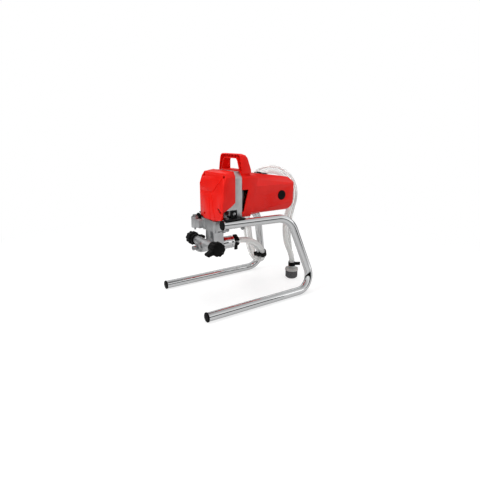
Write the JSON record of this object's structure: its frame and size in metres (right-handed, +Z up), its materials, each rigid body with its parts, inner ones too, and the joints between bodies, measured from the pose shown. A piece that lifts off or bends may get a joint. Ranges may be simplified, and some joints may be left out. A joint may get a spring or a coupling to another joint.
{
  "type": "airless paint sprayer",
  "caption": "Electric airless paint sprayer: geared piston pump in a red housing with a carrying handle, on a bent tube stand, with suction hose and strainer.",
  "frame": {"origin": "on the floor, midway between the stand's ends and sides, measured without the hoses", "axes": "+Z up; -Y towards the pump, its outlet and the front cover; +Y towards the motor's tail; +X to the right as seen from the front"},
  "size_m": [0.3061, 0.4428, 0.431],
  "materials": {
    "red_moulding": "gloss",
    "cast_aluminium": "satin",
    "chromed_tube": "polished",
    "machined_steel": "satin",
    "black_steel": "satin",
    "black_plastic": "matte",
    "black_rubber": "matte",
    "copper": "satin",
    "clear_tube": "gloss",
    "pale_packing": "matte",
    "carbon": "matte",
    "pale_plastic": "matte",
    "grey_mesh": "matte",
    "hardened_ball": "polished"
  },
  "bodies": {
    "machine": {"front_cover": "red_moulding", "rear_housing": "red_moulding", "gear_housing": "cast_aluminium", "bearing_plate": "cast_aluminium", "motor_end_bell": "cast_aluminium", "rear_motor_bracket": "cast_aluminium", "pump_block": "cast_aluminium", "stand_tube_right": "chromed_tube", "stand_tube_left": "chromed_tube", "inlet_housing": "chromed_tube", "pump_sleeve": "chromed_tube", "frame_bolts": "machined_steel", "stator": "machined_steel", "motor_ties": "machined_steel", "motor_bearings": "machined_steel", "crank_bearings": "machined_steel", "intermediate_pin": "machined_steel", "pump_bolts": "machined_steel", "lug_bolt": "machined_steel", "packing_nut": "machined_steel", "outlet_fitting": "machined_steel", "valve_seats": "machined_steel", "hose_barb": "machined_steel", "return_barb": "machined_steel", "valve_cartridges": "machined_steel", "base_bracket": "black_steel", "cover_screws": "black_steel", "cable_gland": "black_plastic", "switch_body": "black_plastic", "brush_caps": "black_plastic", "inlet_clamp": "black_plastic", "hose_clips": "black_plastic", "end_caps": "black_rubber", "field_coils": "copper", "suction_hose": "clear_tube", "return_hose": "clear_tube", "rod_packing": "pale_packing", "carbon_brushes": "carbon", "strainer_cap": "pale_plastic", "strainer_bowl": "grey_mesh"},
    "armature": {"armature_shaft": "machined_steel", "armature_core": "machined_steel", "armature_windings": "copper", "commutator": "copper", "cooling_fan": "black_plastic"},
    "intermediate": {"intermediate_gear": "machined_steel"},
    "crank": {"crankshaft": "machined_steel", "crank_gear": "machined_steel"},
    "piston": {"piston_rod": "chromed_tube", "crosshead": "machined_steel", "wrist_pin": "machined_steel"},
    "conrod": {"connecting_rod": "machined_steel", "crank_pin": "machined_steel"},
    "pressure_control": {"pressure_knob": "black_plastic", "pressure_spindle": "machined_steel"},
    "prime_valve": {"prime_knob": "black_plastic", "prime_spindle": "machined_steel"},
    "rocker": {"switch_rocker": "black_plastic"},
    "inlet_check": {"inlet_ball": "hardened_ball"},
    "outlet_check": {"outlet_ball": "hardened_ball"}
  },
  "joints": [
    {"name": "armature_spin", "type": "hinge", "parent": "machine", "child": "armature", "pos_m": [0, 0.04412, 0.306], "axis": [0, 1, 0], "continuous": true},
    {"name": "intermediate_spin", "type": "hinge", "parent": "machine", "child": "intermediate", "pos_m": [0.02383, -0.04588, 0.29331], "axis": [0, 1, 0], "continuous": true},
    {"name": "crank_spin", "type": "hinge", "parent": "machine", "child": "crank", "pos_m": [0, -0.05588, 0.33], "axis": [0, 1, 0], "continuous": true},
    {"name": "piston_slide", "type": "slide", "parent": "machine", "child": "piston", "axis": [0, 0, 1], "range_m": [0, 0.012]},
    {"name": "conrod_swing", "type": "hinge", "parent": "piston", "child": "conrod", "pos_m": [0, -0.08588, 0.278], "axis": [0, 1, 0], "range_deg": [-8, 8]},
    {"name": "pressure_turn", "type": "hinge", "parent": "machine", "child": "pressure_control", "pos_m": [-0.074, -0.12088, 0.175], "axis": [-1, 0, 0], "range_deg": [0, 180]},
    {"name": "prime_turn", "type": "hinge", "parent": "machine", "child": "prime_valve", "pos_m": [0.074, -0.12088, 0.175], "axis": [1, 0, 0], "range_deg": [0, 90]},
    {"name": "rocker_tilt", "type": "hinge", "parent": "machine", "child": "rocker", "pos_m": [0, 0.08135, 0.36481], "axis": [1, 0, 0], "range_deg": [0, 12]},
    {"name": "inlet_check_lift", "type": "slide", "parent": "machine", "child": "inlet_check", "axis": [0, -1, 0], "range_m": [0, 0.0015]},
    {"name": "outlet_check_lift", "type": "slide", "parent": "machine", "child": "outlet_check", "axis": [0, -1, 0], "range_m": [0, 0.0015]}
  ],
  "couplings": [
    {"joint": "intermediate_spin", "follows": "armature_spin", "ratio": -0.28571},
    {"joint": "crank_spin", "follows": "armature_spin", "ratio": 0.071429}
  ]
}
